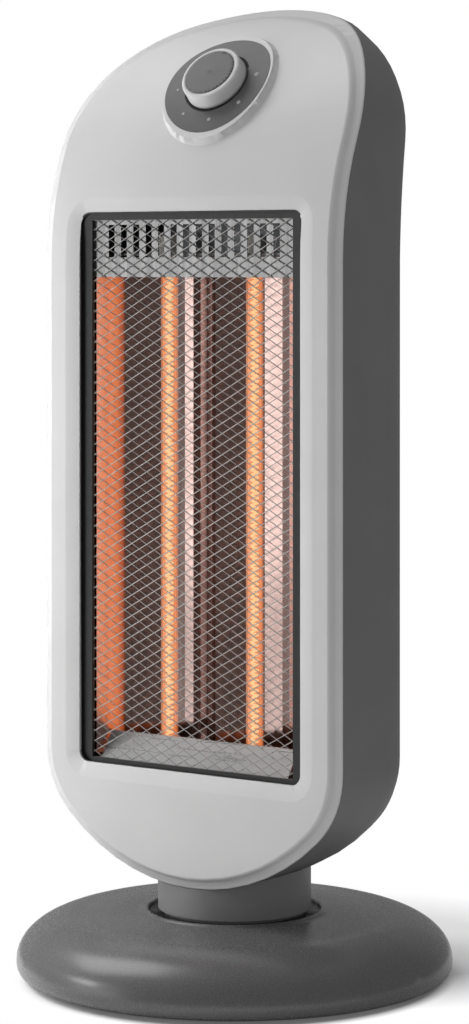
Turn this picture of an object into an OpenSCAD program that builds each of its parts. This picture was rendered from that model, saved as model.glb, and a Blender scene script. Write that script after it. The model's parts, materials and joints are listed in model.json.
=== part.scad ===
// Tower heater with two carbon lamps on a round swinging base.
// Millimetres, +Z up, the front faces -Y, the origin is the centre of the
// base on the floor.

/* [Base] */
// Largest diameter of the base
base_d = 280; // [260:1:310]
// Height of the base cover beside the neck
base_h = 43.5; // [40:0.5:50]
// Wall of the base cover
cover_wall = 3; // [2.4:0.1:3.6]
// Height of the rubber feet
foot_h = 3; // [2.5:0.5:5]
// Diameter of one rubber foot
foot_d = 18; // [14:1:24]
// Thickness of the bottom plate
plate_t = 2.5; // [2:0.1:3]
// Bore of the cord grommet
cord_bore_d = 6.8; // [5:0.1:7.4]
// Travel of the tip-over plunger
tip_travel = 6; // [4:0.5:7]

/* [Neck] */
// Outer diameter of the neck
neck_d = 98.5; // [88:0.5:106]
// Diameter of the swivel hub in the base
hub_d = 40; // [36:0.5:44]
// Largest swing to each side
swing_deg = 35; // [25:1:40]
// Distance from the swivel axis to the swing motor
motor_offset = 40; // [38:0.5:44]

/* [Tower] */
// Width of the tower
tower_w = 231; // [222:1:246]
// Height of the tower above the base cover
tower_lift = 20.5; // [16:0.5:26]
// Height of the tower from its lowest to its highest point
tower_h = 560.4; // [545:0.2:600]
// Distance from the swivel axis to the flat front
front_d = 53.5; // [52:0.5:58]
// Distance from the swivel axis to the back
back_d = 52; // [50:0.5:60]
// Wall of the two tower shells
wall = 2.5; // [2:0.1:3]
// Depth of the light front frame at the side
bezel_depth = 5.8; // [5:0.1:8]
// Width of the stepped edge round the flat front
step_w = 7.9; // [6.8:0.1:8.6]
// Depth of the ledge outside the step
step_depth = 3.5; // [2.6:0.1:3.8]
// Rounding of the back edge
back_edge_r = 50; // [40:1:52]
// Radius of the broad arc at the top of the outline
top_arc_r = 195; // [180:1:220]
// Radius of the top corners of the outline
top_corner_r = 84; // [76:1:92]
// Radius of the broad arc at the bottom of the outline
bottom_arc_r = 140; // [130:1:160]
// Radius of the bottom corners of the outline
bottom_corner_r = 60; // [56:1:70]
// Height of the head that sweeps back
head_h = 164.4; // [150:0.2:170]
// Radius of the sweep of the head
sweep_r = 186; // [180:1:200]

/* [Window] */
// Width of the front frame beside the window
side_border = 29.1; // [26:0.1:34]
// Height of the front below the window
bottom_border = 73; // [70:0.5:80]
// Height of the front above the window
top_border = 134.4; // [130:0.2:142]
// Corner radius of the window
window_r = 7; // [5:0.5:9]
// Width of the slope round the window
slope_w = 10; // [8:0.5:12]
// Depth of the slope round the window
slope_depth = 2; // [1:0.1:2.2]
// Width of the black rim at the sides of the guard mesh
rim_side = 7.9; // [6:0.1:9]
// Width of the black rim above the guard mesh
rim_top = 4; // [3:0.1:6]
// Width of the black rim below the guard mesh
rim_bottom = 3; // [2:0.1:5]
// Columns of openings in the guard mesh
mesh_columns = 9; // [6:1:10]
// Rows of openings in the guard mesh
mesh_rows = 18; // [12:1:20]
// Width of a bar of the guard mesh
mesh_bar = 1.8; // [1.4:0.1:2.4]

/* [Lamps] */
// Distance between the two lamps
lamp_gap = 67; // [62:1:72]
// Distance from the lamps to the bottom of their troughs
trough_depth = 19; // [17:0.5:21]
// Outer diameter of a lamp tube
tube_d = 11; // [9:0.5:12]
// Number of slots in the plate above the lamps
slot_count = 14; // [10:1:15]
// Distance between the slots
slot_pitch = 9.95; // [9:0.05:10.2]
// Height of the slots
slot_h = 21; // [16:0.5:23]

/* [Control] */
// Height of the knob's centre below the top of the tower
knob_drop = 52.8; // [50:0.2:60]
// Diameter of the dark disc round the knob
disc_d = 76; // [72:0.5:80]
// Diameter of the knob
knob_d = 42.6; // [36:0.2:44]
// Height of the knob over the front
knob_h = 13.5; // [12:0.5:17]
// Height of the disc and its collar over the front
disc_rise = 4; // [3:0.1:5]
// Diameter of the switch shaft
shaft_d = 6; // [5:0.5:7]

/* [Rear] */
// Slots in one row of vents
vent_count = 11; // [7:1:13]
// Width of a vent slot
vent_w = 4; // [3:0.5:5]
// Height of a vent slot
vent_h = 34; // [20:1:40]
// Distance between the vent slots
vent_pitch = 9; // [8:0.5:9.5]
// Width of the hand grip
grip_w = 92; // [80:1:100]
// Height of the hand grip
grip_h = 26; // [22:1:28]
// Depth of the hand grip
grip_depth = 20; // [16:1:22]

/* [Hidden] */

$fn = 48;

// Clearances
run_gap = 0.06;     // a shaft or hub that turns or slides in its bore
seat_gap = 0.3;     // a piece lying on its seat
fit_gap = 0.05;     // a screw or cap in its hole
seam_gap = 0.4;     // the visible line between the two tower shells
through = 30;       // length of a cutter that goes right through

// Colours
light_grey = "#c9c9c9";
shell_grey = "#555557";
base_grey = "#66676a";
black = "#151515";
steel = "#b8bcc0";
zinc = "#9aa0a6";

// Outline of the tower, seen from the front, with every arc centre fixed
half_w = tower_w / 2;
low_z = base_h + tower_lift;
top_z = low_z + tower_h;
bend_z = top_z - head_h;
top_rise = sqrt(pow(top_arc_r - top_corner_r, 2) - pow(half_w - top_corner_r, 2));
top_corner_z = top_z - top_arc_r + top_rise;
top_join = atan2(top_rise, half_w - top_corner_r);
bottom_drop = sqrt(pow(bottom_arc_r - bottom_corner_r, 2)
  - pow(half_w - bottom_corner_r, 2));
bottom_corner_z = low_z + bottom_arc_r - bottom_drop;
bottom_join = atan2(bottom_drop, half_w - bottom_corner_r);

// Back of the tower: flat below, leaning back in a wide arc above
lean_r = 617;
lean_z = bend_z - 13;

// Window
window_w = tower_w - 2 * side_border;
window_z0 = low_z + bottom_border;
window_z1 = top_z - top_border;
lip_y = slope_depth - front_d;
lip_t = 2;
frame_wall = 1;
frame_gap = 0.2;
frame_y0 = lip_y + lip_t + frame_gap;
rim_y = lip_y + 3.5;
rim_t = 0.8;
mesh_y = rim_y + rim_t + 0.2;
mesh_t = 1.2;
slot_plate_y = mesh_y + mesh_t + seat_gap;
plate_strip = 12;
sheet_t = 0.8;
mesh_x = window_w / 2 - rim_side;
mesh_z0 = window_z0 + rim_bottom;
mesh_z1 = window_z1 - rim_top;
slot_plate_z0 = mesh_z1 - slot_h - 3 - plate_strip;

// Lamps and their chamber
lamp_x = lamp_gap / 2;
lamp_depth = 20.6;
lamp_y = slot_plate_y + lamp_depth;
trough_y = lamp_y + trough_depth;
wing_y = slot_plate_y + 2;
reflector_t = 0.6;
shield_y = trough_y + reflector_t + seat_gap;
shield_x = window_w / 2 - 0.4;
shield_drop = 13;
shield_inset = 2;
shield_z0 = window_z0 - shield_drop;
shield_z1 = window_z1 - shield_inset;
tray_z = mesh_z0 - 0.4;
tray_rise = 16.4;
cap_len = 19;
cap_r = tube_d / 2 + 1.7;
tube_reach = 7;
tube_drop = 23;
tube_z0 = tray_z - tube_reach;
tube_z1 = mesh_z1 - tube_drop;
cap_lap = 6;
cap_z0 = tube_z0 - cap_len + cap_lap;
cap_z1 = tube_z1 - cap_lap;
frame_len = lamp_y - cap_r - seat_gap - frame_y0;
trough_w = 74;
wing_x = lamp_x + trough_w / 2;

// Control
knob_z = top_z - knob_drop;
knob_tilt = asin((knob_z - bend_z) / sweep_r);
disc_t = 2.6;
flange_w = 4;
flange_t = 1.6;
well_r = knob_d / 2 + 2;
ring_w = 3.8;
well_depth = 1.8;
well_floor = disc_rise - well_depth;
plate_skin = 2.6;
collar_w = 1.3;
collar_slope = 0.55;
bore_reach = 24;
switch_top = disc_t + flange_t + 0.8;
switch_size = 24;
switch_h = 16;
lug_len = 6;

// Base
base_r = base_d / 2;
rim_r = 8;
rim_top_z = foot_h + rim_r + 2;
shoulder_w = 42;
shoulder_x = base_r - shoulder_w;
shoulder_top = base_h - 2.5;
shoulder_h = shoulder_top - rim_top_z;
lip_r = neck_d / 2 + 7.4;
well_z = base_h - 3.5;
hub_r = hub_d / 2;
hub_z0 = well_z - 12;
plate_r = base_r - 9.5;
plate_z1 = foot_h + plate_t;
boss_ring = shoulder_x - 3;
boss_r = 5;
foot_ring = 112;
cord_z = rim_top_z + 0.9;

// Swing drive: a crank pin runs in a slotted arm on the hub
crank_r = motor_offset * sin(swing_deg);
crank_ratio = 3;
swing_plate_t = 2;
swing_plate_z1 = hub_z0 - 0.4;
crank_t = 2;
crank_z1 = swing_plate_z1 - swing_plate_t - 0.4;
motor_h = 15;
motor_z1 = crank_z1 - crank_t - 2.4;
motor_z0 = motor_z1 - motor_h;
pin_r = 2.5;
pin_play = 1.9;
ear_x = 30;

// Tip-over switch
tip_x = -80;
stem_r = 4;
collar_z = plate_z1 + tip_travel + seat_gap;
switch_z = collar_z + 4.6;

// Screws of the tower: x and height
screw_x_top = 72;
screw_drop = 102.4;
screw_z_top = top_z - screw_drop;
screw_x_low = 60;
screw_z_low = low_z + 44;
shell_screw_at = [[screw_x_top, screw_z_top], [-screw_x_top, screw_z_top],
  [screw_x_low, screw_z_low], [-screw_x_low, screw_z_low]];
post_r = 5;
screw_r = 1.75;
head_r = 3.6;
head_t = 2.4;
post_end_y = 0;
post_seat_t = 3;
neck_screw_at = [[30, -22], [-30, -22], [30, 18], [-30, 18]];
neck_floor_z = well_z + 2.5 + seat_gap;
neck_floor_t = 6;
neck_wall = 3;
boss_top_z = low_z + 28;

// Front surface of the tower at height z, moved back by off along its normal
function front_y(z, off = 0) = z <= bend_z ? off - front_d
  : sweep_r - front_d - sqrt(pow(sweep_r - off, 2) - pow(z - bend_z, 2));
// Back edge of the light front frame
function parting_y(z) = front_y(z) + bezel_depth;
// Back surface of the tower at height z, moved forward by off
function back_y(z, off = 0) = z <= lean_z ? back_d - off
  : back_d + lean_r - sqrt(pow(lean_r + off, 2) - pow(z - lean_z, 2));

// Points of an arc, with n steps
function arc(cx, cy, r, a0, a1, n) =
  [for (i = [0:n]) let (a = a0 + (a1 - a0) * i / n) [cx + r * cos(a), cy + r * sin(a)]];
function tail(list) = [for (i = [1:len(list) - 1]) list[i]];

// Right half of the outline, from the lowest to the highest point, inset by d
function half_outline(d) = concat(
  arc(0, low_z + bottom_arc_r, bottom_arc_r - d, -90, -bottom_join, 7),
  tail(arc(half_w - bottom_corner_r, bottom_corner_z, bottom_corner_r - d,
    -bottom_join, 0, 8)),
  [[half_w - d, (bottom_corner_z + bend_z) / 2]],
  [for (i = [0:5]) [half_w - d, bend_z + (top_corner_z - bend_z) * i / 6]],
  arc(half_w - top_corner_r, top_corner_z, top_corner_r - d, 0, top_join, 12),
  tail(arc(0, top_z - top_arc_r, top_arc_r - d, top_join, 90, 6)));

// Closed loop: the right half going up, then the left half going down
function loop_of(half, y_at, flat = 0) = concat([for (p = half) [p[0], y_at(p[1]), p[1]]],
  [for (i = [len(half) - 2 + flat:-1:1 - flat]) [-half[i][0], y_at(half[i][1]), half[i][1]]]);
function ring(d, y_at) = loop_of(half_outline(d), y_at);

// Solid through a row of rings that runs from the back to the front. A ring goes
// up on the right and comes down on the left; flat is 1 where its ends are level
// edges and 0 where it has one lowest and one highest point.
module loft(rings, flat = 0) {
  n = len(rings[0]);
  last = (len(rings) - 1) * n;
  function pair(i) = (n - flat - i) % n;
  sides = [for (j = [0:len(rings) - 2]) for (i = [0:n - 1])
    [j * n + i, (j + 1) * n + i, (j + 1) * n + (i + 1) % n, j * n + (i + 1) % n]];
  strips = [for (i = [0:n / 2 - 1 - flat]) let (p = pair(i), q = pair(i + 1))
    p == i ? [i, q, i + 1] : q == i + 1 ? [i, p, q] : [i, p, q, i + 1]];
  front = [for (f = strips) [for (i = f) last + i]];
  back = [for (f = strips) [for (k = [len(f) - 1:-1:0]) f[k]]];
  polyhedron([for (r = rings) each r], concat(sides, front, back), convexity = 10);
}

// Rings of the rounded back, for a skin that lies off inside the outer one
function back_rings(off, steps) = [for (k = [0:steps]) let (a = 90 - 90 * k / steps)
  ring(off + (back_edge_r - off) * (1 - cos(a)), function(z)
    let (depth = min(back_edge_r - off, back_y(z, off) - parting_y(z) - 1))
    back_y(z, off) - depth * (1 - sin(a)))];
// Section of the front edge: a ledge beside the seam, a step up and the rim of the
// flat front. Each row is an inset from the outline and a depth under the front.
edge_side = bezel_depth - 0.9;
ledge_w = step_w - 3.2;
front_edge = [[0, edge_side], [0.2, edge_side - 0.35], [0.7, edge_side - 0.6],
  [ledge_w, step_depth], [ledge_w + 0.45, step_depth - 0.5], [step_w - 1.9, 1],
  [step_w - 1.2, 0.35], [step_w, 0]];
function front_rings(grow) = [for (p = front_edge)
  ring(p[0] - grow, function(z) front_y(z) + p[1] - grow)];

// The whole outer form of the tower, grown by a clearance
module tower_form(grow) {
  loft(concat(back_rings(-grow, 8), front_rings(grow)));
}

// Rectangle with round corners about the window, grown by d
module window_shape(d) {
  x = window_w / 2 + d;
  r = window_r + d;
  for (sx = [-1, 1]) for (z = [window_z0 - d + r, window_z1 + d - r])
    translate([sx * (x - r), z]) circle(r);
  translate([-x + r, window_z0 - d]) square([2 * (x - r), window_z1 - window_z0 + 2 * d]);
  translate([-x, window_z0 - d + r]) square([2 * x, window_z1 - window_z0 + 2 * d - 2 * r]);
}

// A shape in the x-z plane, drawn out from y0 to y1
module along_y(y0, y1) {
  translate([0, y1, 0]) rotate([90, 0, 0]) linear_extrude(y1 - y0) children();
}
module cyl_y(x, z, y0, y1, r) {
  translate([x, y1, z]) rotate([90, 0, 0]) cylinder(r = r, h = y1 - y0);
}
// A shape in the y-z plane, drawn out to x on both sides
module along_x(x) {
  rotate([90, 0, 90]) translate([0, 0, -x]) linear_extrude(2 * x) children();
}
module at_knob() {
  translate([0, front_y(knob_z), knob_z]) rotate([90 - knob_tilt, 0, 0]) children();
}
// Layer that follows the sweep of the head, from off0 to off1 under the surface
module sweep_layer(off0, off1, x) {
  along_x(x) translate([sweep_r - front_d, bend_z]) difference() {
    circle(sweep_r - off0, $fn = 180);
    circle(sweep_r - off1, $fn = 180);
  }
}
module ring_of(n, r, turn = 0) {
  for (i = [0:n - 1]) rotate(turn + 360 * i / n) translate([r, 0, 0]) children();
}
module mirrored() {
  children();
  mirror([1, 0, 0]) children();
}
// Pan-head screw along z with its head at the bottom
module screw_up(len) {
  cylinder(r = head_r, h = head_t);
  cylinder(r = screw_r, h = head_t + len);
}

// Base

function cover_outer() = concat(
  [[plate_r + 0.7, foot_h]],
  arc(base_r - rim_r, foot_h + rim_r, rim_r, -90, 0, 5),
  [for (i = [0:14]) [shoulder_x + shoulder_w * cos(90 * i / 14),
    rim_top_z + shoulder_h * sin(90 * i / 14)]],
  [for (i = [1:4]) [shoulder_x + (lip_r + 1.5 - shoulder_x) * i / 4,
    shoulder_top + (base_h - shoulder_top) * sin(90 * i / 4)]],
  arc(lip_r, base_h - 0.4, 1.4, 50, 180, 4),
  [[lip_r - 1.4, well_z], [hub_r + run_gap, well_z]]);
function cover_inner() = concat(
  [[hub_r + run_gap, hub_z0], [hub_r + 6, hub_z0], [hub_r + 6, well_z - cover_wall],
    [lip_r + 1.5, well_z - cover_wall], [lip_r + 1.5, base_h - cover_wall - 0.2]],
  [for (i = [14:-1:0]) [shoulder_x + (shoulder_w - cover_wall) * cos(90 * i / 14),
    rim_top_z + (shoulder_h - cover_wall) * sin(90 * i / 14)]],
  [[base_r - 6, foot_h + 3.2], [plate_r + 0.7, foot_h + 2.2]]);

module base_cover() {
  color(base_grey) difference() {
    union() {
      rotate_extrude() polygon(concat(cover_outer(), cover_inner()));
      ring_of(4, boss_ring, 45) translate([0, 0, plate_z1 + seat_gap])
        cylinder(r = boss_r, h = shoulder_top - cover_wall / 2 - plate_z1 - seat_gap);
      translate([-8, plate_r + 0.7, rim_top_z - 6.8])
        cube([16, base_r - 2.4 - plate_r - 0.7, 14.3]);
    }
    ring_of(4, boss_ring, 45) cylinder(r = screw_r + fit_gap, h = plate_z1 + 16);
    cyl_y(0, cord_z, 0.8 * base_r, base_r, cord_bore_d / 2 + 1.6);
    cyl_y(0, cord_z, base_r - 3.6, base_r + 1, cord_bore_d / 2 + 3.5);
  }
}

module base_plate() {
  color(base_grey) difference() {
    union() {
      translate([0, 0, foot_h]) cylinder(r = plate_r, h = plate_t);
      translate([tip_x, 0, foot_h]) cylinder(r = stem_r + 4.5, h = collar_z + 1 - foot_h);
      for (y = [-13, 13]) translate([tip_x, y, foot_h]) cylinder(r = 3, h = switch_z - foot_h);
      for (x = [-ear_x, ear_x]) translate([x, motor_offset, foot_h])
        cylinder(r = 4, h = motor_z1 - 1.5 - foot_h);
      translate([0, motor_offset, foot_h]) cylinder(r = 14, h = motor_z0 - foot_h);
    }
    translate([tip_x, 0, 0]) cylinder(r = stem_r + 0.08, h = plate_z1);
    translate([tip_x, 0, plate_z1]) cylinder(r = stem_r + 3, h = through);
    ring_of(4, boss_ring, 45) cylinder(r = screw_r + 0.5, h = through);
    for (x = [-ear_x, ear_x]) translate([x, motor_offset, plate_z1])
      cylinder(r = screw_r + fit_gap, h = through);
  }
}

module rubber_feet() {
  color(black) ring_of(4, foot_ring) difference() {
    cylinder(d = foot_d, h = foot_h);
    translate([0, 0, -1]) cylinder(d = foot_d / 3, h = 2);
  }
}

module base_screws() {
  color(steel) ring_of(4, boss_ring, 45) translate([0, 0, foot_h - head_t])
    screw_up(14);
}

module cord_grommet() {
  bore_r = cord_bore_d / 2;
  color(black) difference() {
    union() {
      cyl_y(0, cord_z, base_r - 3.6, base_r - 1.6, bore_r + 3.1);
      cyl_y(0, cord_z, plate_r - 1.9, base_r - 3, bore_r + 1.5);
      cyl_y(0, cord_z, plate_r - 1.9, plate_r + 0.4, bore_r + 2.9);
    }
    cyl_y(0, cord_z, base_r - 30, base_r + 1, bore_r);
  }
}

module bearing_ring() {
  color("ivory") translate([0, 0, well_z]) difference() {
    cylinder(r = neck_d / 2 - 4.5, h = 2.5);
    translate([0, 0, -1]) cylinder(r = hub_r + 4, h = 5);
  }
}

module tip_switch() {
  color(black) difference() {
    translate([tip_x - 5, -16, switch_z]) cube([10, 32, 15]);
    for (y = [-13, 13]) translate([tip_x - 6, y, switch_z + 4]) rotate([0, 90, 0])
      cylinder(r = 1.5, h = 12);
  }
  color(steel) for (y = [-9, 0, 9]) translate([tip_x - 0.4, y - 1.6, switch_z + 15])
    cube([0.8, 3.2, 5]);
}

module tip_plunger() {
  color("#d8d8d8") translate([tip_x, 0, 0]) {
    cylinder(r = stem_r, h = switch_z - 0.4);
    translate([0, 0, collar_z]) cylinder(r = stem_r + 2.6, h = 2);
  }
}

module swing_motor() {
  color(zinc) translate([0, motor_offset, 0]) difference() {
    union() {
      translate([0, 0, motor_z0]) cylinder(r = 24.5, h = motor_h);
      translate([0, 0, motor_z1 - 0.1]) cylinder(r = 5.5, h = 1.6);
      translate([-ear_x - 4, -4, motor_z1 - 1.5]) cube([2 * ear_x + 8, 8, 1.5]);
    }
    translate([0, 0, motor_z1 - 9]) cylinder(r = shaft_d / 2 + run_gap, h = through);
    for (x = [-ear_x, ear_x]) translate([x, 0, motor_z0]) cylinder(r = screw_r + 0.4, h = through);
  }
}

module motor_screws() {
  color(steel) for (x = [-ear_x, ear_x])
    translate([x, motor_offset, motor_z1 + 1.8]) mirror([0, 0, 1]) {
      cylinder(r = head_r, h = 1.8);
      cylinder(r = screw_r, h = 12);
    }
}

module motor_shaft() {
  color(steel) translate([0, motor_offset, motor_z1 - 8.5])
    cylinder(d = shaft_d, h = crank_z1 - motor_z1 + 8.5);
}

module swing_crank() {
  color(steel) translate([0, motor_offset, crank_z1 - crank_t]) difference() {
    union() {
      linear_extrude(crank_t) {
        circle(8);
        translate([0, crank_r]) circle(5);
        translate([-5, 0]) square([10, crank_r]);
      }
      translate([0, crank_r, 0]) cylinder(r = pin_r, h = crank_t + swing_plate_t + 1.4);
    }
    translate([0, 0, -1]) cylinder(d = shaft_d + 2 * fit_gap, h = crank_t + 2);
  }
}

// The arm of the hub, with the slot that the crank pin runs in
slot_y0 = motor_offset;
slot_y1 = motor_offset + crank_r + 0.8;
slot_r = pin_r + pin_play;

module swing_plate() {
  color(zinc) translate([0, 0, swing_plate_z1 - swing_plate_t]) linear_extrude(swing_plate_t)
    difference() {
      union() {
        circle(hub_r + 9);
        translate([-slot_r - 4, 0]) square([2 * slot_r + 8, slot_y1]);
        translate([0, slot_y1]) circle(slot_r + 4);
      }
      circle(hub_r - 7);
      ring_of(3, hub_r - 3, 30) circle(screw_r + 0.3);
      translate([0, slot_y0]) circle(slot_r);
      translate([0, slot_y1]) circle(slot_r);
      translate([-slot_r, slot_y0]) square([2 * slot_r, slot_y1 - slot_y0]);
    }
}

module swing_plate_screws() {
  color(steel) ring_of(3, hub_r - 3, 30)
    translate([0, 0, swing_plate_z1 - swing_plate_t - 1.6]) {
      cylinder(r = 2.6, h = 1.6);
      cylinder(r = screw_r, h = 10);
    }
}

// Tower

module neck() {
  color(shell_grey) difference() {
    union() {
      difference() {
        translate([0, 0, neck_floor_z + 2.2]) cylinder(d = neck_d, h = 60);
        translate([0, 0, neck_floor_z + neck_floor_t])
          cylinder(d = neck_d - 2 * neck_wall, h = 60);
      }
      translate([0, 0, neck_floor_z]) cylinder(r = neck_d / 2 - 3, h = neck_floor_t);
      translate([0, 0, swing_plate_z1]) cylinder(r = hub_r, h = neck_floor_z - swing_plate_z1 + 2);
      for (p = neck_screw_at) translate([p[0], p[1], neck_floor_z])
        cylinder(r = 6, h = 60);
    }
    tower_form(seat_gap);
    cylinder(r = hub_r - 6, h = low_z);
    for (p = neck_screw_at) translate([p[0], p[1], 0]) {
      cylinder(r = head_r + 0.4, h = neck_floor_z + 3);
      cylinder(r = screw_r + 0.4, h = 2 * low_z);
    }
    ring_of(3, hub_r - 3, 30) cylinder(r = screw_r + fit_gap, h = swing_plate_z1 + 9);
  }
}

module neck_screws() {
  color(steel) for (p = neck_screw_at)
    translate([p[0], p[1], neck_floor_z + 3 - head_t]) screw_up(boss_top_z - neck_floor_z - 9);
}

module vent_row(z) {
  for (i = [0:vent_count - 1])
    translate([(i - (vent_count - 1) / 2) * vent_pitch, z]) {
      translate([-vent_w / 2, -vent_h / 2 + vent_w / 2]) square([vent_w, vent_h - vent_w]);
      for (s = [-1, 1]) translate([0, s * (vent_h - vent_w) / 2]) circle(d = vent_w);
    }
}

grip_z = top_z - 66;
grip_r = 6;
module grip_shape(d) {
  x = grip_w / 2 + d;
  z = grip_h / 2 + d;
  r = grip_r + d;
  translate([0, grip_z]) {
    for (sx = [-1, 1]) for (sz = [-1, 1]) translate([sx * (x - r), sz * (z - r)]) circle(r);
    translate([-x + r, -z]) square([2 * (x - r), 2 * z]);
    translate([-x, -z + r]) square([2 * x, 2 * (z - r)]);
  }
}
vent_z_low = low_z + 72;
vent_z_high = bend_z - 20;

module rear_shell() {
  color(shell_grey) difference() {
    loft(concat(back_rings(0, 8), [ring(0, function(z) parting_y(z) + seam_gap)]));
    difference() {
      loft(concat(back_rings(wall, 6), [ring(wall, function(z) parting_y(z) - 1)]));
      for (p = shell_screw_at) cyl_y(p[0], p[1], post_end_y + seam_gap, back_d + through, post_r);
      for (p = neck_screw_at) translate([p[0], p[1], 0]) cylinder(r = post_r, h = boss_top_z);
      along_y(back_y(grip_z) - grip_depth - wall, back_y(grip_z) + through) grip_shape(wall);
    }
    for (p = shell_screw_at) {
      cyl_y(p[0], p[1], post_end_y + post_seat_t, back_d + 40, head_r + 0.4);
      cyl_y(p[0], p[1], -10, back_d, screw_r + 0.4);
    }
    for (p = neck_screw_at) translate([p[0], p[1], 0])
      cylinder(r = screw_r + fit_gap, h = boss_top_z - 3);
    along_y(back_y(grip_z) - grip_depth, back_y(grip_z) + through) grip_shape(0);
    along_y(back_d - 8, back_d + through) {
      vent_row(vent_z_low);
      vent_row(vent_z_high);
    }
    cylinder(r = hub_r - 5, h = low_z + 12);
  }
}

// Right half of the window's outline, from bottom to top, grown by d
function half_window(d) = let (x = window_w / 2 - window_r, r = window_r + d,
    z0 = window_z0 + window_r, z1 = window_z1 - window_r)
  concat(arc(x, z0, r, -90, 0, 4), [[x + r, bend_z], [x + r, (bend_z + z1) / 2]],
    arc(x, z1, r, 0, 90, 4));

// Sloping cutter round the window: it leaves the surface at slope_w from the window
module window_slope() {
  over = slope_w / 2;
  per = slope_depth / slope_w;
  loft([loop_of(half_window(-1), function(z) front_y(z) + slope_depth + per, 1),
    loop_of(half_window(slope_w + over), function(z) front_y(z) - over * per, 1)], 1);
}

// Round cutter or post on the axis of the knob
module knob_bore(r0, r1 = 0) {
  translate([0, 0, -bore_reach]) cylinder(r1 = r0, r2 = r1 > 0 ? r1 : r0, h = 2 * bore_reach);
}

// Collar of the front that carries the disc of the knob
module knob_collar() {
  r = disc_d / 2 + 0.2 + collar_w + collar_slope * disc_rise;
  taper = collar_slope * bore_reach;
  intersection() {
    at_knob() knob_bore(r + taper, r - taper);
    sweep_layer(0.2 - disc_rise, wall / 2, r + taper);
  }
}

module front_bezel() {
  skirt = wall + seat_gap;
  color(light_grey) difference() {
    union() {
      difference() {
        loft(concat([ring(skirt, function(z) parting_y(z) + 3),
          ring(skirt, function(z) parting_y(z))],
          [ring(0, function(z) parting_y(z))], front_rings(0)));
        difference() {
          loft([ring(skirt + 2, function(z) parting_y(z) + 6),
            ring(skirt + 2, function(z) front_y(z) + step_depth + wall + 0.2),
            ring(step_w + 1, function(z) front_y(z) + step_depth + wall - 0.5),
            ring(step_w + 1, function(z) front_y(z, wall))]);
          along_y(-front_d - 5, frame_y0 + 3) window_shape(slope_w + 2.5);
          for (p = shell_screw_at) cyl_y(p[0], p[1], -front_d - 5, post_end_y + 5, post_r);
        }
      }
      for (p = shell_screw_at) cyl_y(p[0], p[1], front_y(p[1]) + 6, post_end_y, post_r);
      knob_collar();
    }
    window_slope();
    along_y(-front_d - 5, post_end_y) window_shape(0);
    along_y(lip_y + lip_t, post_end_y) window_shape(frame_wall + frame_gap);
    at_knob() knob_bore(disc_d / 2 + 0.2);
    for (p = shell_screw_at) cyl_y(p[0], p[1], post_end_y - 14, post_end_y + 1,
      screw_r + fit_gap);
  }
}

module shell_screws() {
  color(steel) for (p = shell_screw_at) {
    cyl_y(p[0], p[1], post_end_y + post_seat_t, post_end_y + post_seat_t + head_t, head_r);
    cyl_y(p[0], p[1], post_end_y - 12, post_end_y + post_seat_t + 1, screw_r);
  }
}

module chamber_frame() {
  color(black) {
    along_y(frame_y0, frame_y0 + frame_len) difference() {
      window_shape(frame_wall);
      window_shape(0);
    }
    along_y(rim_y, rim_y + rim_t) difference() {
      window_shape(0.3);
      translate([-mesh_x, mesh_z0]) square([2 * mesh_x, mesh_z1 - mesh_z0]);
    }
  }
}

module guard_mesh() {
  edge = 1.5;
  dx = 2 * mesh_x / mesh_columns;
  dz = (mesh_z1 - mesh_z0) / mesh_rows;
  hole = 1 - mesh_bar / min(dx, dz);
  color(steel) along_y(mesh_y, mesh_y + mesh_t) difference() {
    translate([-mesh_x - edge, mesh_z0 - edge])
      square([2 * (mesh_x + edge), mesh_z1 - mesh_z0 + 2 * edge]);
    for (i = [0:mesh_columns - 1]) for (j = [0:mesh_rows - 1])
      mesh_opening(-mesh_x + (i + 0.5) * dx, mesh_z0 + (j + 0.5) * dz, dx * hole, dz * hole);
    for (i = [1:mesh_columns - 1]) for (j = [1:mesh_rows - 1])
      mesh_opening(-mesh_x + i * dx, mesh_z0 + j * dz, dx * hole, dz * hole);
  }
}
module mesh_opening(x, z, w, h) {
  translate([x, z]) polygon([[-w / 2, 0], [0, -h / 2], [w / 2, 0], [0, h / 2]]);
}

module slot_plate() {
  z0 = slot_plate_z0;
  color(steel) {
    along_y(slot_plate_y, slot_plate_y + sheet_t) difference() {
      translate([-mesh_x - 1, z0]) square([2 * mesh_x + 2, mesh_z1 + 1 - z0]);
      for (i = [0:slot_count - 1])
        translate([(i - (slot_count - 1) / 2) * slot_pitch - 2.4, z0 + plate_strip])
          square([4.8, slot_h]);
    }
    translate([-mesh_x - 1, slot_plate_y, z0 - 0.6])
      cube([2 * mesh_x + 2, wing_y - slot_plate_y - seat_gap, sheet_t]);
  }
}

// Inclined plate that hides the lower ends of the lamps, with a turned-over top edge
module bottom_tray() {
  run = lamp_y - cap_r - 2.5 - slot_plate_y;
  slope = atan2(tray_rise, run);
  fold = [sheet_t * sin(slope), -sheet_t * cos(slope)];
  front = [[0, 0], [run, tray_rise], [run + 1.6, tray_rise]];
  back = [[run + 1.6, tray_rise - sheet_t], [run + fold[0], tray_rise - sheet_t], fold];
  color(steel) along_x(wing_x + 2.5) translate([slot_plate_y, tray_z])
    polygon(concat(front, back));
}

// Section of the reflector: two parabolas that meet in a ridge, and two wings
function trough_y_at(x) = trough_y - pow(abs(x) - lamp_x, 2) / (4 * trough_depth);
function reflector_side() = [for (i = [-10:10]) let (x = wing_x * i / 10) [x, trough_y_at(x)]];
module reflector() {
  side = reflector_side();
  back = [for (p = side) p + [0, reflector_t]];
  color("#e8e4dc") translate([0, 0, tray_z + 2])
    linear_extrude(slot_plate_z0 - tray_z)
    polygon(concat([[-mesh_x, wing_y]], side, [[mesh_x, wing_y], [mesh_x, wing_y + 1]],
      [for (i = [len(back) - 1:-1:0]) back[i]], [[-mesh_x, wing_y + 1]]));
}

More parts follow.
